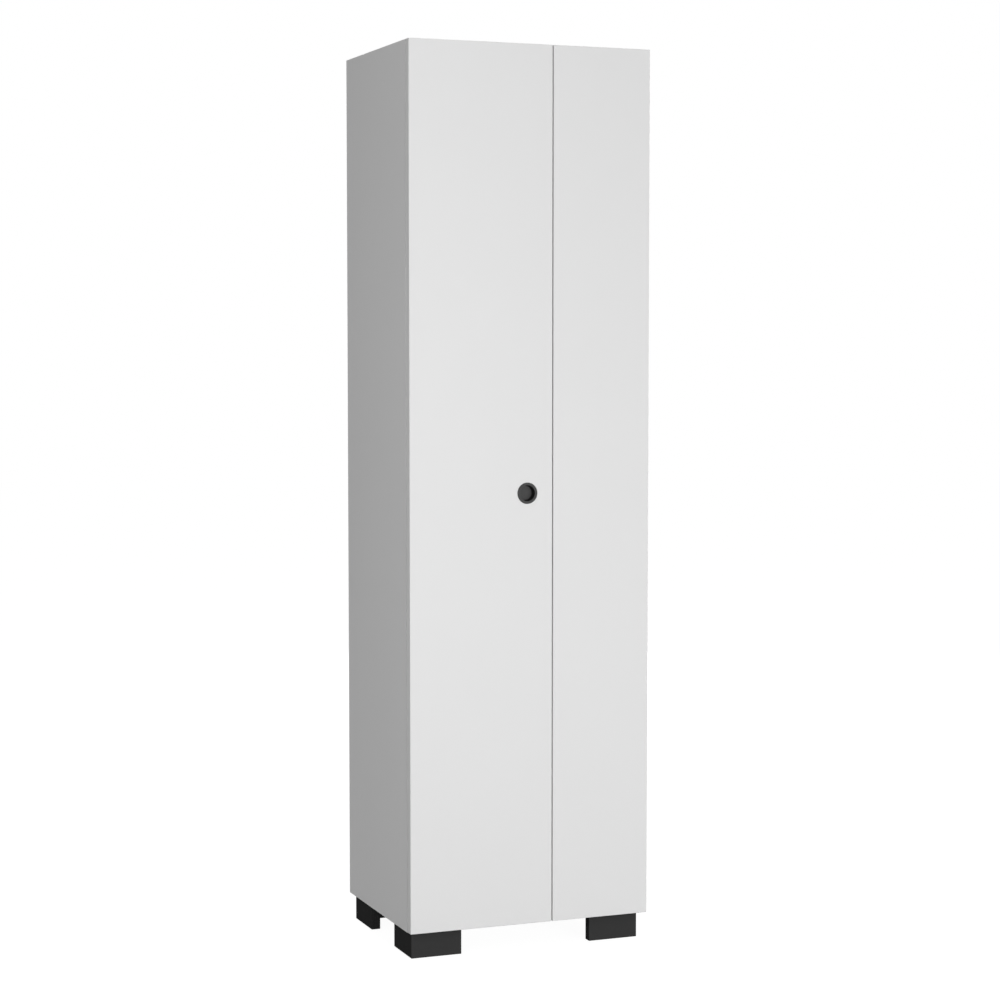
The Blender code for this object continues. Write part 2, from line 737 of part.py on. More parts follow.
def build_plate(name, location, turn, surface):
    """Mounting plate: a rib along the side under the arm, a wing across it, and two screws into the side."""
    low_x, start_y = section(BOARD + SEAT, -PLATE_RIB_START)
    high_x, end_y = section(BOARD + SEAT + PLATE_RIB_HEIGHT, -ARM_START - ARM_LENGTH)
    wing_y = section(0.0, -PLATE_SCREW_FROM_FRONT)[1]
    mesh = bmesh.new()
    add_box(mesh, (low_x, start_y, -PLATE_RIB_WIDTH / 2), (high_x, end_y, PLATE_RIB_WIDTH / 2))
    made = place_object(name, mesh, surface, location, turn)
    mesh = bmesh.new()
    add_box(mesh, (low_x, wing_y - PLATE_WING_WIDTH / 2, -PLATE_WING_LENGTH / 2),
            (low_x + PLATE_WING, wing_y + PLATE_WING_WIDTH / 2, PLATE_WING_LENGTH / 2))
    join(made, mesh)
    mesh = bmesh.new()
    arm_top = section(arm_seat() + ARM_THICKNESS, 0.0)[0]
    add_screw_hole(mesh, ARM_SCREW, (arm_top, wing_y, 0), (-1, 0, 0), ARM_THICKNESS)
    cut(made, mesh)
    mesh = bmesh.new()
    for half in (-PLATE_SCREW_SPACING / 2, PLATE_SCREW_SPACING / 2):
        add_screw(mesh, PLATE_SCREW, (low_x + PLATE_WING, wing_y, half), (-1, 0, 0))
    join(made, mesh)


def hinge_point(side):
    """World X and Y of a door's hinge axis."""
    return side * (WIDTH / 2 - AXIS_IN), Y_FRONT - AXIS_OUT


def build_hinges(label, side, axis, nickel, steel):
    """Three hinges of a door: arm and plate on the side, cup and pin on the door."""
    turn = 0.0 if side < 0 else math.pi
    for number, height in enumerate(HINGE_HEIGHTS, 1):
        place = (*hinge_point(side), height)
        tail = "_%s_%d" % (label, number)
        build_arm("hinge_arm" + tail, place, turn, nickel)
        build_plate("hinge_plate" + tail, place, turn, nickel)
        build_cup("hinge_cup" + tail, height, turn, axis, nickel)
        build_pin("hinge_pin" + tail, height, axis, steel)


# Doors, in the frame of their hinge axis at floor height

def door_width(side):
    return LEFT_DOOR_WIDTH if side < 0 else WIDTH - LEFT_DOOR_WIDTH - DOOR_SPLIT


def door_point(side, inward, outward):
    """Axis-frame X and Y of a point given by its distances from the outer side and the carcass front."""
    return -side * (inward - AXIS_IN), AXIS_OUT - outward


def cup_holes(side):
    """Cutters of the cup bores and cup screw holes in a door's back."""
    mesh = bmesh.new()
    x, back = door_point(side, CUP_CENTRE, DOOR_GAP)
    screw_x = door_point(side, CUP_CENTRE + CUP_SCREW_OFFSET, DOOR_GAP)[0]
    for height in HINGE_HEIGHTS:
        mouth, floor = back + DOOR_BOARD / 2, back - CUP_DEPTH - SEAT
        add_rod(mesh, CUP_RADIUS + SEAT, (x, mouth, height), (x, floor, height), ROUND)
        for seat_x, seat_y, half in cup_screw_seats(screw_x, back):
            add_screw_hole(mesh, CUP_SCREW, (seat_x, seat_y, height + half), (0, -1, 0), CUP_EAR)
    return mesh


def build_door(label, side, axis, surface):
    outer, back = door_point(side, 0.0, DOOR_GAP)
    free, front = door_point(side, door_width(side), DOOR_GAP + DOOR_BOARD)
    mesh = bmesh.new()
    add_box(mesh, (outer, front, Z_BODY + DOOR_FOOT_REVEAL), (free, back, Z_TOP))
    made = place_object("door_" + label, mesh, surface, parent=axis)
    round_edges(made, EDGE_ROUND)
    cut(made, cup_holes(side))
    if side < 0:
        hole = bmesh.new()
        x, y, z = pull_centre()
        add_rod(hole, PULL_BODY_RADIUS + SEAT, (x, y - DOOR_BOARD / 2, z),
                (x, y + PULL_RECESS + PULL_FLOOR + SEAT, z), FINE)
        cut(made, hole)


def pull_centre():
    """Centre of the finger pull on the left door's front, in the door's frame."""
    inward = LEFT_DOOR_WIDTH + DOOR_SPLIT / 2 - PULL_FROM_SPLIT
    return *door_point(-1, inward, DOOR_GAP + DOOR_BOARD), Z_BODY + PULL_HEIGHT


def build_pull(axis, surface):
    """Round recessed pull: a flange on the door's face and a cup with a rounded floor in the door."""
    lip = PULL_PROUD / 2
    profile = [(0.0, PULL_RECESS)]
    profile += arc((PULL_FLOOR_RADIUS - PULL_FILLET, PULL_RECESS - PULL_FILLET), PULL_FILLET, 90, 0, 3)
    profile += [(PULL_MOUTH_RADIUS, -lip), (PULL_MOUTH_RADIUS + lip, -PULL_PROUD),
                (PULL_RADIUS - lip, -PULL_PROUD), (PULL_RADIUS, -lip), (PULL_RADIUS, -SEAT),
                (PULL_BODY_RADIUS, -SEAT), (PULL_BODY_RADIUS, PULL_RECESS + PULL_FLOOR)]
    mesh = bmesh.new()
    add_turned(mesh, profile, aimed(pull_centre(), (0, 1, 0)), FINE)
    shade_round(place_object("finger_pull", mesh, surface, parent=axis))


def build_bumpers(label, side, axis, surface):
    """Soft pads on the door's back that meet the front edges of the top and bottom panels."""
    x, back = door_point(side, door_width(side) - BUMPER_FROM_EDGE, DOOR_GAP)
    for end, z in (("lower", Z_BODY + BOARD / 2), ("upper", Z_TOP - BOARD / 2)):
        mesh = bmesh.new()
        add_rod(mesh, BUMPER_RADIUS, (x, back + SEAT / 2, z), (x, back + DOOR_GAP - SEAT, z), BORE)
        shade_round(place_object("bumper_%s_%s" % (label, end), mesh, surface, parent=axis))


def door_axis(label, side):
    """Empty on a door's hinge axis, at floor height."""
    axis = bpy.data.objects.new("axis_" + label, None)
    axis.location = (*hinge_point(side), 0.0)
    bpy.context.scene.collection.objects.link(axis)
    return axis


for old in list(bpy.data.objects):
    bpy.data.objects.remove(old, do_unlink=True)

white = material("white_melamine", (0.80, 0.80, 0.79), 0.45)
hardboard = material("white_hardboard", (0.78, 0.78, 0.76), 0.6)
black = material("black_plastic", (0.02, 0.02, 0.02), 0.5)
nickel = material("nickel_plate", (0.62, 0.60, 0.57), 0.3, 1.0)
steel = material("bright_steel", (0.55, 0.55, 0.56), 0.35, 1.0)
soft_pad = material("soft_pad", (0.75, 0.77, 0.78), 0.4)

for label, side in SIDES:
    build_side(label, side, white)
build_joined_boards(white)
build_back(hardboard)
build_shelves(white)
build_shelf_pins(steel)
build_feet(black)
build_bracket(steel)
for label, side in SIDES:
    axis = door_axis(label, side)
    build_door(label, side, axis, white)
    build_hinges(label, side, axis, nickel, steel)
    build_bumpers(label, side, axis, soft_pad)
    if side < 0:
        build_pull(axis, black)
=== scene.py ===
import json
import math

import bmesh
import bpy
import numpy as np
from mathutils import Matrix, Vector


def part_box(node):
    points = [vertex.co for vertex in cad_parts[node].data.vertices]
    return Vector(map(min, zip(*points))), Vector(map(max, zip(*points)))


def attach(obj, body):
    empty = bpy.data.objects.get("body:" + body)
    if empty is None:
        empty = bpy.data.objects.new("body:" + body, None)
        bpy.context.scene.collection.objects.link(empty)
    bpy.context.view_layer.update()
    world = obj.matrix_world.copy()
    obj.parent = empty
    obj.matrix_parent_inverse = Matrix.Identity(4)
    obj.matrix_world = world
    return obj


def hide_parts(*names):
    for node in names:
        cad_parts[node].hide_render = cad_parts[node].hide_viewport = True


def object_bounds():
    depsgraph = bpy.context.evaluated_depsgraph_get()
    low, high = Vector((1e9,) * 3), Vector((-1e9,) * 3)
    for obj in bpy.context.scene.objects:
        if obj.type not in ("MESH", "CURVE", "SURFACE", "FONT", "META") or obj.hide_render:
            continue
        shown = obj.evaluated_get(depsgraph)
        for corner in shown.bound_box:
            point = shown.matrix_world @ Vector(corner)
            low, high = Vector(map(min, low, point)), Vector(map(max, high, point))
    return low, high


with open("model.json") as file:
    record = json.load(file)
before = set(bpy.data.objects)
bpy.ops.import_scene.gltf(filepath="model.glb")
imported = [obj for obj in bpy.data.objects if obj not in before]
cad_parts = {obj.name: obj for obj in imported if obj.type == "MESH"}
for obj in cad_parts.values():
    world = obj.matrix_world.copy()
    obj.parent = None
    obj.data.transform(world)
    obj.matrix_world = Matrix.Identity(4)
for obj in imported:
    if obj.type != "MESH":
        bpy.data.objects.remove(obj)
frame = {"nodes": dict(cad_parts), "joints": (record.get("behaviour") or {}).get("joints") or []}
cad_low, cad_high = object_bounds()


# Side panels
# Two full-height 18 mm boards of white melamine-faced chipboard, with a 0.8 mm ABS band glued round their
# edges. The foil is a hard resin paper, even and faintly pearled. Bores and grooves cut through to the chips.

MELAMINE_WHITE = "#E6E6E6"
CLOUD_WHITES = ("#E5E5E5", "#E7E7E7")
GLUE_GREY = "#C4C3BF"
CHIP_BROWNS = ("#A98455", "#D8C08F")
FOIL_ROUGHNESS = 0.55
PEARL_ROUGHNESS = (0.53, 0.58)
CHIP_ROUGHNESS = 0.9

FOIL_DEPTH = 0.0003
FOIL_FADE = 0.0002
EDGE_BAND = 0.0008
GLUE_HALF = 0.00006
GLUE_FADE = 0.0001
GLUE_SHARE = 0.5
CLOUD_SIZE = 0.18
CHIP_SIZE = 0.0022
BOARD_RELIEF = 0.00005

# A foil's pearl is a few tenths of a millimetre fine, and 1.2 mm here so that it shows
PEARL_GRAIN = 0.0012

# Most of a noise pattern lies between these two of its values
NOISE_LOW, NOISE_HIGH = 0.3, 0.7


def linear(colour):
    """sRGB hex to linear RGBA: c / 12.92 up to 0.04045, and above it (c + 0.055) / 1.055 to the power 2.4."""
    value = np.array([int(colour[i:i + 2], 16) for i in (1, 3, 5)]) / 255
    channels = np.where(value <= 0.04045, value / 12.92, ((value + 0.055) / 1.055) ** 2.4)
    return (*(float(c) for c in channels), 1.0)


def add_node(tree, kind, inputs, **settings):
    """Adds one node and returns its outputs; inputs gives a socket its value or the output that feeds it.

    Settings are the node's properties. A Mix has its factor at 0, its numbers at 2 and 3 and its colours at 6
    and 7. A Map Range has its value at 0, and turns the range from 1 to 2 into the one from 3 to 4.
    """
    made = tree.nodes.new("ShaderNode" + kind)
    for name, value in settings.items():
        setattr(made, name, value)
    for socket, value in inputs.items():
        if isinstance(value, bpy.types.NodeSocket):
            tree.links.new(value, made.inputs[socket])
        else:
            made.inputs[socket].default_value = value
    return made.outputs


def new_finish(name, colour, roughness, metallic=0.0):
    """A Principled finish; returns the material, its node tree and its shader."""
    finish = bpy.data.materials.new(name)
    finish.use_nodes = True
    shader = finish.node_tree.nodes["Principled BSDF"]
    shader.inputs["Base Color"].default_value = linear(colour)
    shader.inputs["Roughness"].default_value = roughness
    shader.inputs["Metallic"].default_value = metallic
    return finish, finish.node_tree, shader


def melamine_board(name, low, high, thin):
    """Melamine-faced chipboard between two corners, thin across that axis.

    The distance in from each pair of faces is half the size less the distance from the middle. The least of
    the three is the depth under the foil. The lesser of the two along the board is the distance from its
    banded edge.
    """
    low, high = np.array(low), np.array(high)
    finish, tree, shader = new_finish(name, MELAMINE_WHITE, FOIL_ROUGHNESS)
    place = add_node(tree, "TexCoord", {})["Object"]
    offset = add_node(tree, "VectorMath", {0: place, 1: (low + high) / 2}, operation="SUBTRACT")[0]
    away = add_node(tree, "VectorMath", {0: offset}, operation="ABSOLUTE")[0]
    inward = add_node(tree, "VectorMath", {0: (high - low) / 2, 1: away}, operation="SUBTRACT")[0]
    inside = add_node(tree, "SeparateXYZ", {0: inward})
    along = [inside[i] for i in range(3) if i != thin]
    edge = add_node(tree, "Math", {0: along[0], 1: along[1]}, operation="MINIMUM")[0]
    nearest = add_node(tree, "Math", {0: edge, 1: inside[thin]}, operation="MINIMUM")[0]
    depth = add_node(tree, "Math", {0: nearest}, operation="ABSOLUTE")[0]
    core = add_node(tree, "MapRange", {0: depth, 1: FOIL_DEPTH, 2: FOIL_DEPTH + FOIL_FADE})[0]

    # The band's glue line is 0.1 mm wide on a real board, and 0.2 mm here so that it shows
    beside = add_node(tree, "Math", {0: edge, 1: EDGE_BAND}, operation="SUBTRACT")[0]
    beside = add_node(tree, "Math", {0: beside}, operation="ABSOLUTE")[0]
    limits = {0: beside, 1: GLUE_HALF, 2: GLUE_HALF + GLUE_FADE, 3: GLUE_SHARE, 4: 0.0}
    glue = add_node(tree, "MapRange", limits)[0]
    cloud = add_node(tree, "TexNoise", {"Vector": place, "Scale": 1 / CLOUD_SIZE, "Detail": 2.0})["Fac"]
    whites = {0: cloud, 6: linear(CLOUD_WHITES[0]), 7: linear(CLOUD_WHITES[1])}
    foil = add_node(tree, "Mix", whites, data_type="RGBA")[2]
    foil = add_node(tree, "Mix", {0: glue, 6: foil, 7: linear(GLUE_GREY)}, data_type="RGBA")[2]

    chips = add_node(tree, "TexVoronoi", {"Vector": place, "Scale": 1 / CHIP_SIZE})["Color"]
    shade = add_node(tree, "SeparateColor", {0: chips})[0]
    browns = {0: shade, 6: linear(CHIP_BROWNS[0]), 7: linear(CHIP_BROWNS[1])}
    wood = add_node(tree, "Mix", browns, data_type="RGBA")[2]
    colour = add_node(tree, "Mix", {0: core, 6: foil, 7: wood}, data_type="RGBA")[2]

    pearl = add_node(tree, "TexNoise", {"Vector": place, "Scale": 1 / PEARL_GRAIN, "Detail": 1.0})["Fac"]
    limits = {0: pearl, 1: NOISE_LOW, 2: NOISE_HIGH, 3: PEARL_ROUGHNESS[0], 4: PEARL_ROUGHNESS[1]}
    sheen = add_node(tree, "MapRange", limits)[0]
    rough = add_node(tree, "Mix", {0: core, 2: sheen, 3: CHIP_ROUGHNESS})[0]
    relief = add_node(tree, "Mix", {0: core, 2: pearl, 3: shade})[0]
    bump = add_node(tree, "Bump", {"Strength": 0.25, "Distance": BOARD_RELIEF, "Height": relief})[0]
    tree.links.new(colour, shader.inputs["Base Color"])
    tree.links.new(rough, shader.inputs["Roughness"])
    tree.links.new(bump, shader.inputs["Normal"])
    return finish


def dress(name, finish):
    """Gives a CAD node its finish."""
    for held in frame["nodes"][name].material_slots:
        held.material = finish


for label in ("left", "right"):
    dress("side_" + label, melamine_board("melamine_side_" + label, *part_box("side_" + label), thin=0))


# Bottom panel, fixed shelf and top panel
# The same board, cut to fit between the sides and held by glued beech dowels and cam bolts in its ends. The
# dowels and bolts stand out past the board's own faces, so the board's width is taken from the sides.

INNER_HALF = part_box("side_right")[0].x
JOINED_BOARDS = ("bottom_panel", "shelf_fixed", "top_panel")

for name in JOINED_BOARDS:
    low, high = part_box(name)
    low.x, high.x = -INNER_HALF, INNER_HALF
    dress(name, melamine_board("melamine_" + name, low, high, thin=2))


# Cams
# Four die-cast zinc discs in each joined board's underside, 15 mm across, turned by a cross slot to draw the
# bolts home. Cast zinc is a dull blue-grey, with a fine skin that is a little uneven in its gloss.

CAM_RADIUS = 0.0074
CAM_HEIGHT = 0.012
CAM_LIP = 0.0002
CAM_CHAMFER = 0.0004
CAM_FROM_SIDE = 0.034
CAM_Y = (-0.11415, 0.12585)
SEAT = 0.0003

# A cross slot's reach, half width and depth as shares of the head's radius; its floor as a share of its mouth
SLOT_REACH = 0.55
SLOT_HALF_WIDTH = 0.13
SLOT_DEPTH = 0.9
SLOT_FLOOR = 0.7

# A head's dome from the slot outwards and down its edge, as shares of its radius and height
HEAD_DOME = ((0.62, 1), (0.85, 0.93), (0.97, 0.7), (1, 0.4), (1, 0))
HEAD_TURNS = 40

CREASE = math.radians(40)
METAL_RELIEF = 0.00004


def angles(turns):
    """Angles spaced evenly round a full turn."""
    return np.linspace(0, 2 * np.pi, turns, endpoint=False)


def turned(rings, turns):
    """A turned surface: a ring of radius r at height h is (r cos t, r sin t, h), and r may change with t."""
    turn = angles(turns)
    radius = np.stack([radius + 0 * turn for radius, height in rings])
    height = np.array([height for radius, height in rings], float)[:, None]
    return np.stack([radius * np.cos(turn), radius * np.sin(turn), height + 0 * turn], axis=-1)


def corner_rays(corners):
    """For each corner of a closed outline: the unit vectors to the corner before it and to the one after it,
    half the angle between them, and the unit vector that halves that angle."""
    back, ahead = np.roll(corners, 1, 0) - corners, np.roll(corners, -1, 0) - corners
    back /= np.linalg.norm(back, axis=1, keepdims=True)
    ahead /= np.linalg.norm(ahead, axis=1, keepdims=True)
    half = np.arccos(np.clip((back * ahead).sum(1, keepdims=True), -1, 1)) / 2
    return back, ahead, half, (back + ahead) / np.linalg.norm(back + ahead, axis=1, keepdims=True)


def rounded(corners, radii, steps=4):
    """A closed outline whose corners are arcs.

    With half the corner's angle h, an arc starts r / tan h along each edge, its centre lies r / sin h along
    the bisector, and its points swing evenly from the first edge to the second.
    """
    corners = np.array(corners, float)
    radii = np.broadcast_to(np.array(radii, float), len(corners))[:, None]
    back, ahead, half, bisector = corner_rays(corners)
    centre = corners + bisector * radii / np.sin(half)
    first = corners + back * radii / np.tan(half) - centre
    last = corners + ahead * radii / np.tan(half) - centre
    swing = (np.pi - 2 * half)[:, :, None]
    t = np.linspace(0, 1, steps + 1)[None, :, None]
    spokes = np.sin((1 - t) * swing) * first[:, None] + np.sin(t * swing) * last[:, None]
    return (centre[:, None] + spokes / np.sin(swing)).reshape(-1, 2)


def cross_outline(turn, reach, width):
    """Radius of a cross at each angle: the farther of two bars, each the nearer of its end and its side."""
    cosine, sine = np.abs(np.cos(turn)) + 1e-9, np.abs(np.sin(turn)) + 1e-9
    level = np.minimum(reach / cosine, width / sine)
    upright = np.minimum(reach / sine, width / cosine)
    return np.maximum(level, upright)


def cross_head(radius, height, shaft, length):
    """A screw or cam with a cross slot in its head, its axis on Z.

    The head rises to its height over 0, and the shaft goes down to its length. Rings run from the slot's
    floor over its rim and the dome, down the head's edge, and on to the shaft's end.
    """
    slot = cross_outline(angles(HEAD_TURNS), SLOT_REACH * radius, SLOT_HALF_WIDTH * radius)
    floor = height - SLOT_DEPTH * radius
    rings = [(0, floor), (SLOT_FLOOR * slot, floor), (slot, height)]
    rings += [(across * radius, up * height) for across, up in HEAD_DOME]
    return turned([*rings, (shaft, 0), (shaft, -length)], HEAD_TURNS)


def stand(points, origin, along=(0, 0, 1)):
    """Turns points whose axis is Z to stand along a direction, and moves them to their origin."""
    turn = np.array(Vector((0, 0, 1)).rotation_difference(Vector(along)).to_matrix())
    return points @ turn.T + np.array(origin)


def closed_mesh(name, grids):
    """A mesh of one or more closed surfaces, each given as rows of rings.

    Neighbouring rings are joined by quads, each ring closes on itself, and the first and last are filled in.
    Points that coincide, as at a pole, are merged.
    """
    points, faces, count = [], [], 0
    for grid in grids:
        index = count + np.arange(grid.shape[0] * grid.shape[1]).reshape(grid.shape[:2])
        beside = np.roll(index, -1, axis=1)
        quads = np.stack([index[:-1], beside[:-1], beside[1:], index[1:]], axis=-1).reshape(-1, 4)
        faces += quads.tolist() + [index[0].tolist(), index[-1].tolist()]
        points.append(grid.reshape(-1, 3))
        count += index.size
    mesh = bpy.data.meshes.new(name)
    mesh.from_pydata(np.concatenate(points).tolist(), [], faces)
    shell = bmesh.new()
    shell.from_mesh(mesh)
    bmesh.ops.remove_doubles(shell, verts=shell.verts, dist=1e-6)
    bmesh.ops.recalc_face_normals(shell, faces=shell.faces)
    shell.to_mesh(mesh)
    shell.free()
    return mesh


def even_shading(piece):
    """Smooth shading up to the crease angle; the larger faces set each normal, so that flats stay flat."""
    piece.data.shade_smooth()
    piece.data.set_sharp_from_angle(angle=CREASE)
    piece.modifiers.new("even_shading", "WEIGHTED_NORMAL").keep_sharp = True


def make_piece(name, grids, finish, body):
    """One piece of the object, with its finish, from closed surfaces given as rows of rings."""
    mesh = closed_mesh(name, grids)
    mesh.materials.append(finish)
    piece = bpy.data.objects.new(name, mesh)
    bpy.context.scene.collection.objects.link(piece)
    even_shading(piece)
    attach(piece, body)
    return piece


def metal_finish(name, colour, roughness, spread, grain):
    """A plain metal whose roughness wanders by the spread over patches of the grain's size in metres."""
    finish, tree, shader = new_finish(name, colour, roughness, 1.0)
    place = add_node(tree, "TexCoord", {})["Object"]
    skin = add_node(tree, "TexNoise", {"Vector": place, "Scale": 1 / grain, "Detail": 3.0})["Fac"]
    limits = {0: skin, 1: NOISE_LOW, 2: NOISE_HIGH, 3: roughness - spread, 4: roughness + spread}
    tree.links.new(add_node(tree, "MapRange", limits)[0], shader.inputs["Roughness"])
    bump = add_node(tree, "Bump", {"Strength": 0.2, "Distance": METAL_RELIEF, "Height": skin})[0]
    tree.links.new(bump, shader.inputs["Normal"])
    return finish


cast_zinc = metal_finish("cast_zinc", "#A3A6AA", roughness=0.5, spread=0.08, grain=0.0015)
cam = cross_head(CAM_RADIUS, CAM_LIP, CAM_RADIUS - CAM_CHAMFER, CAM_HEIGHT)
cam_x = INNER_HALF - CAM_FROM_SIDE
for name in JOINED_BOARDS:
    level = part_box(name)[0].z + 2 * SEAT
    cams = [stand(cam, (x, y, level), (0, 0, -1)) for x in (-cam_x, cam_x) for y in CAM_Y]
    make_piece("cams_" + name, cams, cast_zinc, "carcass")


# Back panel
# 3 mm hardboard slid into grooves, lacquered white inside. Its rear is the bare brown fibre, pressed smooth,
# with the felted flecks of dry-formed board.

LACQUER_WHITE = "#E2E2DF"
FIBRE_BROWNS = ("#6F5138", "#8C6A4B")
LACQUER_ROUGHNESS = 0.5
FIBRE_ROUGHNESS = 0.72
FIBRE_SIZE = 0.002
FIBRE_LOW, FIBRE_HIGH = 0.35, 0.65
FIBRE_RELIEF = 0.00005
LACQUER_FADE = 0.0002

back_low, back_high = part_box("back_panel")
back_middle = (back_low.y + back_high.y) / 2

hardboard, tree, shader = new_finish("lacquered_hardboard", LACQUER_WHITE, LACQUER_ROUGHNESS)
place = add_node(tree, "TexCoord", {})["Object"]
across = add_node(tree, "SeparateXYZ", {0: place})["Y"]
limits = {0: across, 1: back_middle - LACQUER_FADE, 2: back_middle + LACQUER_FADE}
bare = add_node(tree, "MapRange", limits)[0]
pattern = {"Vector": place, "Scale": 1 / FIBRE_SIZE, "Detail": 6.0, "Roughness": 0.7}
fibres = add_node(tree, "TexNoise", pattern)["Fac"]
fleck = add_node(tree, "MapRange", {0: fibres, 1: FIBRE_LOW, 2: FIBRE_HIGH})[0]
browns = {0: fleck, 6: linear(FIBRE_BROWNS[0]), 7: linear(FIBRE_BROWNS[1])}
brown = add_node(tree, "Mix", browns, data_type="RGBA")[2]
colour = add_node(tree, "Mix", {0: bare, 6: linear(LACQUER_WHITE), 7: brown}, data_type="RGBA")[2]
rough = add_node(tree, "Mix", {0: bare, 2: LACQUER_ROUGHNESS, 3: FIBRE_ROUGHNESS})[0]
bump = add_node(tree, "Bump", {"Strength": 0.3, "Distance": FIBRE_RELIEF, "Height": fibres})[0]
tree.links.new(colour, shader.inputs["Base Color"])
tree.links.new(rough, shader.inputs["Roughness"])
tree.links.new(bump, shader.inputs["Normal"])
dress("back_panel", hardboard)


# Shelf pins
# Twelve 5 mm steel pins with a 7 mm collar, turned and nickel plated, pushed into the sides under the loose
# shelves. Nickel plating is a warm bright grey, a little uneven in its gloss.

PIN_IN_BOARD = 0.009
PIN_RADIUS = 0.0025
PIN_HEAD_RADIUS = 0.0035
PIN_TIP_ROUND = 0.0006
PIN_STEP_ROUND = 0.0003
PIN_HEAD_ROUND = 0.0007

nickel_plate = metal_finish("nickel_plate", "#C6C1B8", roughness=0.3, spread=0.05, grain=0.002)
for name in sorted(n for n in frame["nodes"] if n.startswith("shelf_pin_")):
    low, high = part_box(name)
    side = 1 if low.x > 0 else -1
    length = high.x - low.x
    step = PIN_IN_BOARD + SEAT
    corners = [(0, 0), (PIN_RADIUS, 0), (PIN_RADIUS, step), (PIN_HEAD_RADIUS, step),
               (PIN_HEAD_RADIUS, length), (0, length)]
    profile = rounded(corners, [0, PIN_TIP_ROUND, 0, PIN_STEP_ROUND, PIN_HEAD_ROUND, 0], steps=3)
    tip = (max(abs(low.x), abs(high.x)) * side, (low.y + high.y) / 2, (low.z + high.z) / 2)
    surface = stand(turned(profile, turns=24), tip, (-side, 0, 0))
    pin = make_piece("nickel_" + name, [surface], nickel_plate, "carcass")
    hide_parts(name)


# Loose shelves
# Three more boards of the same melamine, cut 0.8 mm short at each end so that they lift off. Each lies loose
# on four pins, which can be set in other bores of the rows, 32 mm apart.

for number in (1, 2, 3):
    name = "shelf_%d" % number
    dress(name, melamine_board("melamine_" + name, *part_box(name), thin=2))


# Wall bracket
# An angle pressed from 2 mm zinc-plated steel, screwed up into the top panel, with one hole for the wall
# screw. Zinc plating is a cool grey, a little cloudy.

BRACKET_SHEET = 0.002
BRACKET_BEND = 0.0032
BRACKET_EDGE = 0.0003
BRACKET_SCREW_X = 0.010
BRACKET_SCREW_Y = 0.018
WALL_HOLE_RADIUS = 0.003
WALL_HOLE_DROP = 0.017
DRILL_REACH = 0.01

# Screws: head radius, head height, shaft radius, and length below the head
BRACKET_SCREW = (0.004, 0.0022, 0.002, 0.015)


def block(corners, radii, low, high, edge):
    """Rings of a block with rounded edges, its outline in the plane of the first two axes.

    At the angle t round an edge the outline lies edge * (1 - sin t) inwards and edge * (1 - cos t) in from
    the end. Moving an outline inwards takes that much off the radius of an outer corner, and adds it at an
    inner one.
    """
    corners = np.array(corners, float)
    radii = np.broadcast_to(np.array(radii, float), len(corners))
    back, ahead, half, bisector = corner_rays(corners)
    bend = ahead[:, 0] * back[:, 1] - ahead[:, 1] * back[:, 0]
    beyond = np.roll(corners, -1, 0)
    area = (corners[:, 0] * beyond[:, 1] - corners[:, 1] * beyond[:, 0]).sum()
    outer = np.sign(bend * area)
    t = np.linspace(0, np.pi / 2, 4)
    levels = list(zip(edge * (1 - np.sin(t)), low + edge * (1 - np.cos(t))))
    levels += [(inset, low + high - level) for inset, level in reversed(levels)]
    rings = []
    for inset, level in levels:
        moved = corners + bisector * (outer[:, None] * inset / np.sin(half))
        ring = rounded(moved, np.maximum(radii - outer * inset, 0))
        rings.append(np.column_stack([ring, np.full(len(ring), level)]))
    return np.stack(rings)


def bore(piece, radius, start, end):
    """Bores a round hole through a finished piece between two points, with a drill shaded as the piece is."""
    axis = np.array(end) - np.array(start)
    cutter = stand(turned([(radius, 0), (radius, np.linalg.norm(axis))], turns=32), start, axis)
    drill = bpy.data.objects.new("drill", closed_mesh("drill", [cutter]))
    bpy.context.scene.collection.objects.link(drill)
    even_shading(drill)
    piece.modifiers.clear()
    change = piece.modifiers.new("bore", "BOOLEAN")
    change.object = drill
    change.solver = "EXACT"
    bpy.context.view_layer.update()
    cut = bpy.data.meshes.new_from_object(piece.evaluated_get(bpy.context.evaluated_depsgraph_get()))
    piece.modifiers.clear()
    piece.data = cut
    even_shading(piece)
    bpy.data.objects.remove(drill)


zinc_plate = metal_finish("zinc_plated_steel", "#B4B8BD", roughness=0.38, spread=0.07, grain=0.006)
low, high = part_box("wall_bracket")
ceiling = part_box("top_panel")[0].z
top, wall = ceiling - SEAT, high.y
under, inside = top - BRACKET_SHEET, wall - BRACKET_SHEET
outline = [(wall, top), (low.y, top), (low.y, under), (inside, under), (inside, low.z), (wall, low.z)]
radii = [BRACKET_BEND, BRACKET_EDGE, BRACKET_EDGE, BRACKET_BEND - BRACKET_SHEET, BRACKET_EDGE, BRACKET_EDGE]
angle = block(outline, radii, low.x, high.x, BRACKET_EDGE)[..., [2, 0, 1]]
bracket = make_piece("zinc_wall_bracket", [angle], zinc_plate, "carcass")
hole_z = ceiling - WALL_HOLE_DROP
bore(bracket, WALL_HOLE_RADIUS, (0, wall - DRILL_REACH, hole_z), (0, wall + DRILL_REACH, hole_z))
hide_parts("wall_bracket")
seats = [(x, wall - BRACKET_SCREW_Y, under) for x in (-BRACKET_SCREW_X, BRACKET_SCREW_X)]
screws = [stand(cross_head(*BRACKET_SCREW), seat, (0, 0, -1)) for seat in seats]
make_piece("wall_bracket_screws", screws, zinc_plate, "carcass")


# Corner feet
# Four L-shaped mouldings of black ABS, 100 mm a leg, 18 mm thick and 51.5 mm high, with a plate across the
# inner corner for three screws. The mould leaves them matt and faintly grained, with small round edges.

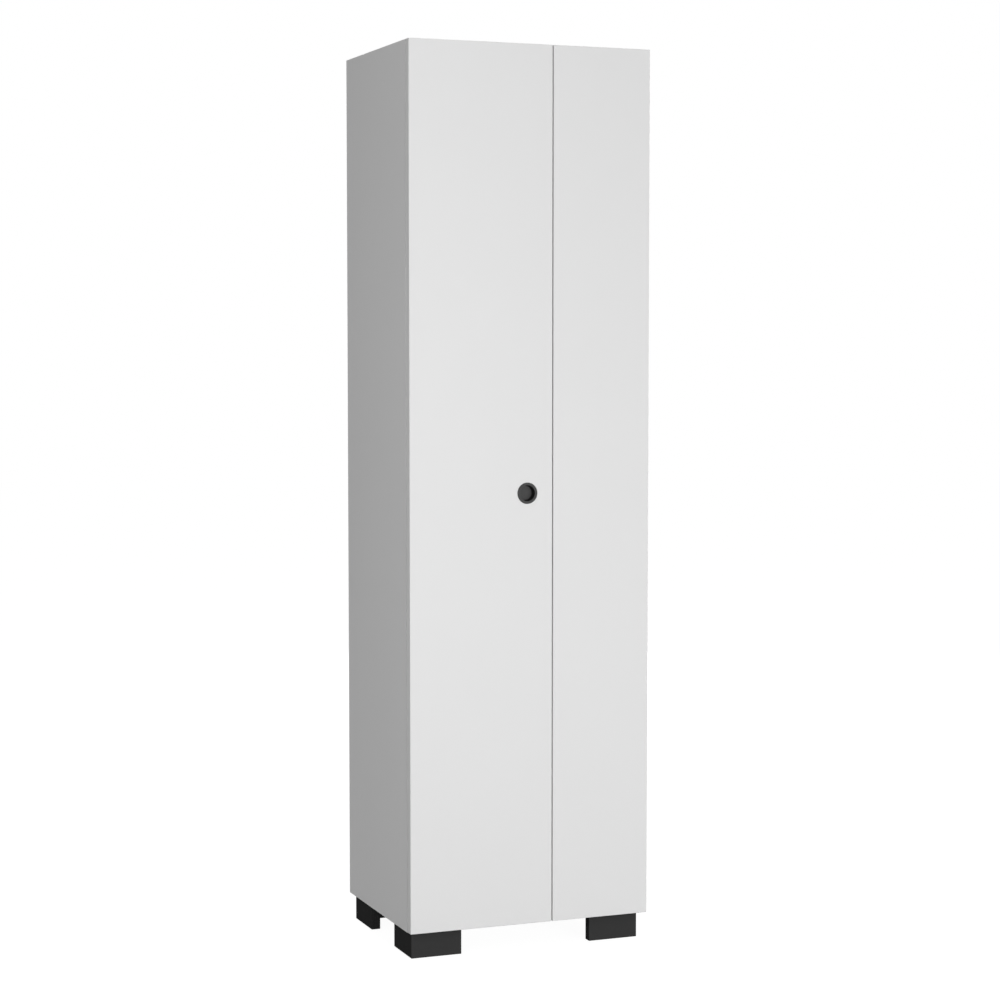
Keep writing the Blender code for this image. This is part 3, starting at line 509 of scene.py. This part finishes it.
FOOT_WALL = 0.018
FOOT_CORNER = 0.0012
FOOT_EDGE = 0.0010
FOOT_PLATE = 0.004
FOOT_PLATE_START = 0.002
FOOT_PLATE_REACH = 0.086
FOOT_PLATE_CUT = 0.040
FOOT_PLATE_CORNER = 0.003
FOOT_PLATE_EDGE = 0.0005
FOOT_SCREW = (0.004, 0.0024, 0.002, 0.016)
SCREW_NEAR = 0.032
SCREW_FAR = 0.072
ABS_GRAIN = 0.0006
ABS_RELIEF = 0.00004
ABS_SPREAD = 0.05


def moulded_abs(name, colour, roughness, gloss):
    """Black ABS with a mould grain. The real grain is 0.1 mm; it is drawn at 0.6 mm so that it shows."""
    finish, tree, shader = new_finish(name, colour, roughness)
    shader.inputs["Specular IOR Level"].default_value = gloss
    place = add_node(tree, "TexCoord", {})["Object"]
    grain = add_node(tree, "TexNoise", {"Vector": place, "Scale": 1 / ABS_GRAIN, "Detail": 2.0})["Fac"]
    limits = {0: grain, 1: NOISE_LOW, 2: NOISE_HIGH, 3: roughness - ABS_SPREAD, 4: roughness + ABS_SPREAD}
    sheen = add_node(tree, "MapRange", limits)[0]
    bump = add_node(tree, "Bump", {"Strength": 0.35, "Distance": ABS_RELIEF, "Height": grain})[0]
    tree.links.new(sheen, shader.inputs["Roughness"])
    tree.links.new(bump, shader.inputs["Normal"])
    return finish


# The floor they stand on shows white in any gloss, and that would turn these black faces pale
foot_abs = moulded_abs("black_abs_foot", "#3D3D3D", roughness=0.8, gloss=0.0)
foot_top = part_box("bottom_panel")[0].z - SEAT
for end in ("front", "rear"):
    for label in ("left", "right"):
        name = "foot_%s_%s" % (end, label)
        low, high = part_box(name)
        side, rear = (-1 if label == "left" else 1), end == "rear"
        corner = np.array([max(abs(low.x), abs(high.x)) * side, high.y if rear else low.y])
        inward = np.array([-side, -1 if rear else 1])
        leg = high.x - low.x
        walls = np.array([(0, 0), (leg, 0), (leg, FOOT_WALL), (FOOT_WALL, FOOT_WALL), (FOOT_WALL, leg),
                          (0, leg)])
        start, reach, bevel = FOOT_PLATE_START, FOOT_PLATE_REACH, FOOT_PLATE_CUT
        plate = np.array([(start, start), (reach, start), (reach, bevel), (bevel, reach), (start, reach)])
        shapes = [block(corner + inward * walls, FOOT_CORNER, 0, foot_top, FOOT_EDGE),
                  block(corner + inward * plate, FOOT_PLATE_CORNER, foot_top - FOOT_PLATE, foot_top,
                        FOOT_PLATE_EDGE)]
        foot = make_piece("abs_" + name, shapes, foot_abs, "carcass")
        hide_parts(name)
        seats = np.array([(SCREW_NEAR, SCREW_NEAR), (SCREW_FAR, SCREW_NEAR), (SCREW_NEAR, SCREW_FAR)])
        screws = [stand(cross_head(*FOOT_SCREW), (*seat, foot_top - FOOT_PLATE), (0, 0, -1))
                  for seat in corner + inward * seats]
        make_piece("screws_" + name, screws, zinc_plate, "carcass")


# Hinge mounting plates
# A winged die-cast plate on the side panel for each of the six hinges, nickel plated, with a screw through
# each wing. Every hinge part is drawn once, X inwards from the hinge's axis, and set at each hinge.

WING = 0.0025
WING_HALF_WIDTH = 0.008
WING_HALF_LENGTH = 0.023
WING_CORNER = 0.0065
RIB_HEIGHT = 0.0072
RIB_START = 0.028
RIB_END = 0.074
RIB_HALF_WIDTH = 0.0055
RIB_CORNER = 0.0015
CAST_EDGE = 0.0006
PLATE_Y = 0.049
PLATE_SCREW_HALF = 0.016
PLATE_SCREW = (0.004, 0.0018, 0.0025, 0.0145)

axis_x, axis_y = next(j["pos_m"][:2] for j in frame["joints"] if j["name"] == "right_door_hinge")
hinges = []
for label, side in (("left", -1), ("right", 1)):
    for number in (1, 2, 3):
        low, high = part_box("hinge_pin_%s_%d" % (label, number))
        hinges.append((label, side, number, (low.z + high.z) / 2))


def oblong(start, end, half):
    """Corners of an oblong from start to end along one axis, and half its width to each side of the other."""
    return [(start, -half), (end, -half), (end, half), (start, half)]


def hinge_part(hinge, kind, node, shapes, finish, on_door=False):
    """One part of a hinge, on the carcass or on its door, which stands for the node of that name.

    A point (x, y, z) of the drawing lies x inwards from the axis, y behind it and z above the hinge's middle.
    """
    label, side, number, middle = hinge
    tail = "_%s_%d" % (label, number)
    grids = [np.stack([side * (axis_x - shape[..., 0]), axis_y + shape[..., 1], middle + shape[..., 2]],
                      axis=-1) for shape in shapes]
    piece = make_piece(kind + tail, grids, finish, label + "_door" if on_door else "carcass")
    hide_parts(node + tail)


plate_seat = axis_x - INNER_HALF + SEAT
wing_outline = oblong(PLATE_Y - WING_HALF_WIDTH, PLATE_Y + WING_HALF_WIDTH, WING_HALF_LENGTH)
wing = block(wing_outline, WING_CORNER, plate_seat, plate_seat + WING, CAST_EDGE)
rib_outline = oblong(RIB_START, RIB_END, RIB_HALF_WIDTH)
rib = block(rib_outline, RIB_CORNER, plate_seat, plate_seat + RIB_HEIGHT, CAST_EDGE)
plate_screws = [stand(cross_head(*PLATE_SCREW), (plate_seat + WING, PLATE_Y, z), (1, 0, 0))
                for z in (-PLATE_SCREW_HALF, PLATE_SCREW_HALF)]
plate_shapes = [wing[..., [2, 0, 1]], rib[..., [2, 0, 1]], *plate_screws]
for hinge in hinges:
    hinge_part(hinge, "cast_plate", "hinge_plate", plate_shapes, nickel_plate)


# Hinge arms
# A pressed-steel arm, nickel plated: a narrow link with an eye round the pin, bent out of the cup into a wide
# crowned bar over the mounting plate. A screw clamps it to the plate, and one behind sets the door's depth.

LINK_DEPTH = 0.0022
LINK_HALF_WIDTH = 0.0033
BAR_DEPTH = 0.0035
BAR_HALF_WIDTH = 0.0065
BAR_CROWN = 0.3
BAR_INNER_ROUND = 0.08
WIDENING = 0.006
ARM_BEND = 0.005
ARM_ROWS = 48
EYE_RADIUS = 0.0021
ARM_SCREW = (0.0035, 0.0018, 0.002, 0.006)
ARM_SCREW_Y = (PLATE_Y, 0.066)
ROD_EDGE = 0.0003

arm_top = plate_seat + RIB_HEIGHT + SEAT + BAR_DEPTH


def arm_surface():
    """Rings along the arm's outer line: straight out of the cup, round the bend, and back over the plate.

    The line's inward normal turns with the bend. A ring is a rounded oblong, as deep as the sheet's set and
    as wide as the arm is there. Past the bend both grow smoothly, by 3 g^2 - 2 g^3, from the link's size to
    the bar's.
    """
    straight, curve = arm_top - ARM_BEND, ARM_BEND * np.pi / 2
    back = RIB_END - (ARM_BEND - LINK_DEPTH / 2)
    s = np.linspace(0, straight + curve + back, ARM_ROWS)
    bend = np.clip((s - straight) / curve, 0, 1) * np.pi / 2
    x = np.minimum(s, straight) + ARM_BEND * np.sin(bend)
    y = -LINK_DEPTH / 2 + ARM_BEND * (1 - np.cos(bend)) + np.maximum(s - straight - curve, 0)
    grow = np.clip((s - straight - curve) / WIDENING, 0, 1)
    grow = grow * grow * (3 - 2 * grow)
    depth = LINK_DEPTH + (BAR_DEPTH - LINK_DEPTH) * grow
    width = LINK_HALF_WIDTH + (BAR_HALF_WIDTH - LINK_HALF_WIDTH) * grow
    rounding = [BAR_CROWN, BAR_CROWN, BAR_INNER_ROUND, BAR_INNER_ROUND]
    crown = rounded([(0, -1), (0, 1), (1, 1), (1, -1)], rounding)
    inward = np.stack([-np.sin(bend), np.cos(bend)], axis=-1)
    across = crown[:, 0] * depth[:, None]
    return np.stack([x[:, None] + inward[:, :1] * across, y[:, None] + inward[:, 1:] * across,
                     width[:, None] * crown[:, 1]], axis=-1)


def rod(radius, length, turns):
    """A turned rod on the hinge's axis, its middle at the hinge's middle and its ends rounded."""
    corners = [(0, 0), (radius, 0), (radius, length), (0, length)]
    profile = rounded(corners, [0, ROD_EDGE, ROD_EDGE, 0], steps=2)
    return stand(turned(profile, turns), (0, 0, -length / 2))


eye = rod(EYE_RADIUS, 2 * LINK_HALF_WIDTH, turns=24)
arm_screws = [stand(cross_head(*ARM_SCREW), (arm_top, y, 0), (1, 0, 0)) for y in ARM_SCREW_Y]
arm_shapes = [arm_surface(), eye, *arm_screws]
for hinge in hinges:
    hinge_part(hinge, "pressed_arm", "hinge_arm", arm_shapes, nickel_plate)


# Doors
# Two flat boards of the same melamine, banded on all four edges, bored from behind for the hinge cups and, in
# the wide left door, from the front for the pull.

for name in ("door_left", "door_right"):
    dress(name, melamine_board("melamine_" + name, *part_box(name), thin=1))


# Hinge cups
# A deep-drawn steel bowl, 35 mm across and nickel plated, let into the door's back. Its flange runs out into
# two ears with a screw each, and two cheeks inside it hold the pin that the arm's eye turns on.

CUP_FROM_SIDE = 0.0205
CUP_TURNS = 96
BOWL_RADIUS = 0.0175
BOWL_DEPTH = 0.013
CUP_SHEET = 0.0008
INNER_FLOOR_ROUND = 0.0015
OUTER_FLOOR_ROUND = 0.002
LIP = 0.001
LIP_ROUND = 0.0004
FLANGE_HEIGHT = 0.0011
RIM_RADIUS = 0.018
EAR_OFFSET = 0.006
EAR_HALF = 0.010
EAR_REACH = 0.0305
EAR_POWER = 7

# How far inwards and how far down each step of the flange's rounded edge lies
FLANGE_EDGE = ((0.0003, 0), (0.00008, 0.0001), (0, 0.0003))

CHEEK_OUTER = -0.0020
CHEEK_INNER_FOOT = 0.0030
CHEEK_INNER_TOP = 0.0026
CHEEK_TOP = 0.0024
CHEEK_Z = 0.0048
CHEEK_HALF = 0.0011
CHEEK_CORNER = 0.0004
CHEEK_EDGE = 0.0003
CUP_SCREW = (0.003, 0.0006, 0.00175, 0.011)
CUP_SCREW_HALF = 0.024
PIVOT_RADIUS = 0.001
PIVOT_LENGTH = 0.012

cup_x = axis_x - cad_high.x + CUP_FROM_SIDE
door_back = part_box("door_left")[1].y - axis_y
bowl_floor = door_back - BOWL_DEPTH


def flange_outline(turn):
    """Radius of the flange seen from the bowl's centre: the farther of the round rim and of a soft oblong.

    The oblong is a superellipse of power 7, set off centre towards the middle of the door.
    """
    cosine, sine = np.cos(turn), np.sin(turn)
    reach = np.where(cosine > 0, EAR_HALF + EAR_OFFSET, EAR_HALF - EAR_OFFSET)
    oblong_edge = (np.abs(cosine) / reach) ** EAR_POWER + (np.abs(sine) / EAR_REACH) ** EAR_POWER
    return np.maximum(oblong_edge ** (-1 / EAR_POWER), RIM_RADIUS)


def cup_surface():
    """Rings of the bowl: its inner floor and wall, the lip, the flange to its outline, and the outside."""
    inner, top, under = BOWL_RADIUS - CUP_SHEET, door_back + FLANGE_HEIGHT, door_back + SEAT
    inner_floor = bowl_floor + CUP_SHEET
    inside = rounded([(0, inner_floor), (inner, inner_floor), (inner, top), (inner + LIP, top)],
                     [0, INNER_FLOOR_ROUND, LIP_ROUND, 0])
    outside = rounded([(BOWL_RADIUS, under), (BOWL_RADIUS, bowl_floor), (0, bowl_floor)],
                      [0, OUTER_FLOOR_ROUND, 0])
    edge = flange_outline(angles(CUP_TURNS))
    flange = [(edge - inwards, top - down) for inwards, down in FLANGE_EDGE] + [(edge, under)]
    rings = turned([*inside, *flange, *outside], CUP_TURNS)
    return rings[..., [0, 2, 1]] + np.array([cup_x, 0, 0])


cheek_outline = [(CHEEK_OUTER, bowl_floor + CUP_SHEET), (CHEEK_INNER_FOOT, bowl_floor + CUP_SHEET),
                 (CHEEK_INNER_TOP, CHEEK_TOP), (CHEEK_OUTER, CHEEK_TOP)]
cheeks = [block(cheek_outline, CHEEK_CORNER, z - CHEEK_HALF, z + CHEEK_HALF, CHEEK_EDGE)
          for z in (-CHEEK_Z, CHEEK_Z)]
cup_screws = [stand(cross_head(*CUP_SCREW), (cup_x + EAR_OFFSET, door_back + FLANGE_HEIGHT, z), (0, 1, 0))
              for z in (-CUP_SCREW_HALF, CUP_SCREW_HALF)]
cup_shapes = [cup_surface(), *cheeks, *cup_screws]
pivot = rod(PIVOT_RADIUS, PIVOT_LENGTH, turns=16)
for hinge in hinges:
    hinge_part(hinge, "drawn_cup", "hinge_cup", cup_shapes, nickel_plate, on_door=True)
    hinge_part(hinge, "pivot", "hinge_pin", [pivot], zinc_plate, on_door=True)


# Door bumpers
# Clear polyurethane domes, 8 mm across, stuck to the free corners of the doors' backs so that they close
# quietly. The rubber is slightly milky and takes a soft highlight.

DOME_TOP = 0.93
DOME_ROUND = 0.7
MILK_SIZE = 0.002
MILK_ROUGHNESS = (0.18, 0.32)

clear_rubber, tree, shader = new_finish("clear_polyurethane", "#DDE2E4", 0.25)
place = add_node(tree, "TexCoord", {})["Object"]
milk = add_node(tree, "TexNoise", {"Vector": place, "Scale": 1 / MILK_SIZE, "Detail": 2.0})["Fac"]
haze = add_node(tree, "MapRange", {0: milk, 3: MILK_ROUGHNESS[0], 4: MILK_ROUGHNESS[1]})[0]
tree.links.new(haze, shader.inputs["Roughness"])
shader.inputs["IOR"].default_value = 1.5
shader.inputs["Transmission Weight"].default_value = 0.55
for label in ("left", "right"):
    for end in ("lower", "upper"):
        name = "bumper_%s_%s" % (label, end)
        low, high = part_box(name)
        radius, height = (high.x - low.x) / 2, high.y - low.y
        corners = [(0, 0), (radius, 0), (radius * DOME_TOP, height), (0, height)]
        profile = rounded(corners, [0, 0, height * DOME_ROUND, 0], steps=6)
        centre = ((low.x + high.x) / 2, low.y, (low.z + high.z) / 2)
        dome = stand(turned(profile, turns=32), centre, (0, 1, 0))
        bumper = make_piece("dome_" + name, [dome], clear_rubber, label + "_door")
        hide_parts(name)


# Finger pull
# A round cup of black ABS pressed into the left door: a flat ring 40 mm across, and a recess 12.5 mm deep
# whose wall narrows a little inwards, as a moulding's must, and meets the flat floor in a small radius. The
# mould leaves it a deep black with a satin gloss.

pull_low, pull_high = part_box("finger_pull")
PULL_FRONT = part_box("door_left")[0].y
PULL_PROUD = PULL_FRONT - pull_low.y
PULL_RADIUS = (pull_high.x - pull_low.x) / 2

# Radius, depth behind the door's face, and rounding of each corner, from the middle of the recess's floor out
# over the ring and back behind it
PULL_CORNERS = np.array([
    (0, 0.0125, 0),
    (0.0138, 0.0125, 0.001),
    (0.0148, -0.0008, 0.0001),
    (0.0151, -PULL_PROUD, 0.0002),
    (PULL_RADIUS, -PULL_PROUD, 0.0006),
    (PULL_RADIUS, -SEAT, 0),
    (0.0172, -SEAT, 0),
    (0.0172, 0.0143, 0.0004),
    (0, 0.0143, 0),
])

pull_abs = moulded_abs("black_abs_pull", "#0A0A0A", roughness=0.50, gloss=0.41)
profile = rounded(PULL_CORNERS[:, :2], PULL_CORNERS[:, 2], steps=6)
centre = ((pull_low.x + pull_high.x) / 2, PULL_FRONT, (pull_low.z + pull_high.z) / 2)
cup = stand(turned(profile, turns=96), centre, (0, 1, 0))
pull = make_piece("abs_finger_pull", [cup], pull_abs, "left_door")
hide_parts("finger_pull")


# Floor, light and camera
# A plain white studio: a soft light far in front, a weak low one beside it, one for each other side and the
# top, and an even grey surround. Floor and surround show white to the camera and in every gloss.

FLOOR_HALF = 15
FLOOR_BOUNCE = "#808080"
SURROUND = 0.26

# What the camera sees of the floor: a glow just short of white, and some lamp light that shadows take away
FLOOR_GLOW = 0.958
FLOOR_SHADOW = 0.16

CAMERA_AZIMUTH = math.radians(-21.389)
CAMERA_ELEVATION = math.radians(3.773)
CAMERA_DISTANCE = 4.5865
CAMERA_TARGET = Vector((0.0097, 0.0006, 0.8445))
CAMERA_LENS = 84.80


def white_rays(tree):
    """1 for the rays that see white, which are the camera's, glossy and transmitted ones; 0 for others."""
    rays = add_node(tree, "LightPath", {})
    pair = {0: rays["Is Camera Ray"], 1: rays["Is Glossy Ray"]}
    seen = add_node(tree, "Math", pair, operation="MAXIMUM")[0]
    return add_node(tree, "Math", {0: seen, 1: rays["Is Transmission Ray"]}, operation="MAXIMUM")[0]


def soft_light(name, place, target, size, watts):
    """A square area light at a place, turned to its target."""
    light = bpy.data.lights.new(name, "AREA")
    light.size = size
    light.energy = watts
    made = bpy.data.objects.new(name, light)
    made.location = place
    made.rotation_mode = "QUATERNION"
    made.rotation_quaternion = (Vector(target) - Vector(place)).to_track_quat("-Z", "Y")
    scene.collection.objects.link(made)


scene = bpy.context.scene
scene.view_settings.view_transform = "Standard"

floor_mesh = bpy.data.meshes.new("studio_floor")
floor_corners = [(x * FLOOR_HALF, y * FLOOR_HALF, 0) for x, y in ((-1, -1), (1, -1), (1, 1), (-1, 1))]
floor_mesh.from_pydata(floor_corners, [], [(0, 1, 2, 3)])
floor = bpy.data.objects.new("studio_floor", floor_mesh)
scene.collection.objects.link(floor)
floor_finish, tree, shader = new_finish("studio_floor", FLOOR_BOUNCE, 0.8)
shadow = add_node(tree, "BsdfDiffuse", {"Color": (FLOOR_SHADOW, FLOOR_SHADOW, FLOOR_SHADOW, 1)})[0]
glow = add_node(tree, "Emission", {"Color": (FLOOR_GLOW, FLOOR_GLOW, FLOOR_GLOW, 1), "Strength": 1.0})[0]
white = add_node(tree, "AddShader", {0: shadow, 1: glow})[0]
either = add_node(tree, "MixShader", {0: white_rays(tree), 1: shader.outputs[0], 2: white})[0]
tree.links.new(either, tree.nodes["Material Output"].inputs["Surface"])
floor_mesh.materials.append(floor_finish)

world = bpy.data.worlds.new("studio_surround")
scene.world = world
world.use_nodes = True
tree = world.node_tree
surround = add_node(tree, "Background", {"Color": (1, 1, 1, 1), "Strength": SURROUND})[0]
backdrop = add_node(tree, "Background", {"Color": (1, 1, 1, 1), "Strength": 1.0})[0]
either = add_node(tree, "MixShader", {0: white_rays(tree), 1: surround, 2: backdrop})[0]
tree.links.new(either, tree.nodes["World Output"].inputs["Surface"])

soft_light("front_light", (0.9, -7.5, 1.15), (0, 0, 0.85), size=2.35, watts=247)
soft_light("low_light", (0.7, -2.0, 0.30), (0.1, 0, 0.2), size=0.5, watts=3.2)
soft_light("left_light", (-1.7, -1.8, 1.2), (-0.2, 0, 0.9), size=1.2, watts=13.5)
soft_light("right_light", (2.4, 0.5, 1.2), (0.2, 0, 0.85), size=1.2, watts=9)
soft_light("rear_light", (1.2, 3.8, 1.6), (0, 0, 0.85), size=2.4, watts=90)
soft_light("top_light", (0, 0, 4.2), (0, 0, 0.85), size=1.6, watts=24)

back = Vector((math.sin(CAMERA_AZIMUTH) * math.cos(CAMERA_ELEVATION),
               -math.cos(CAMERA_AZIMUTH) * math.cos(CAMERA_ELEVATION), math.sin(CAMERA_ELEVATION)))
lens = bpy.data.cameras.new("camera")
lens.lens = CAMERA_LENS
lens.sensor_width = 36
camera = bpy.data.objects.new("camera", lens)
camera.location = CAMERA_TARGET + back * CAMERA_DISTANCE
camera.rotation_mode = "QUATERNION"
camera.rotation_quaternion = (-back).to_track_quat("-Z", "Y")
scene.collection.objects.link(camera)
scene.camera = camera
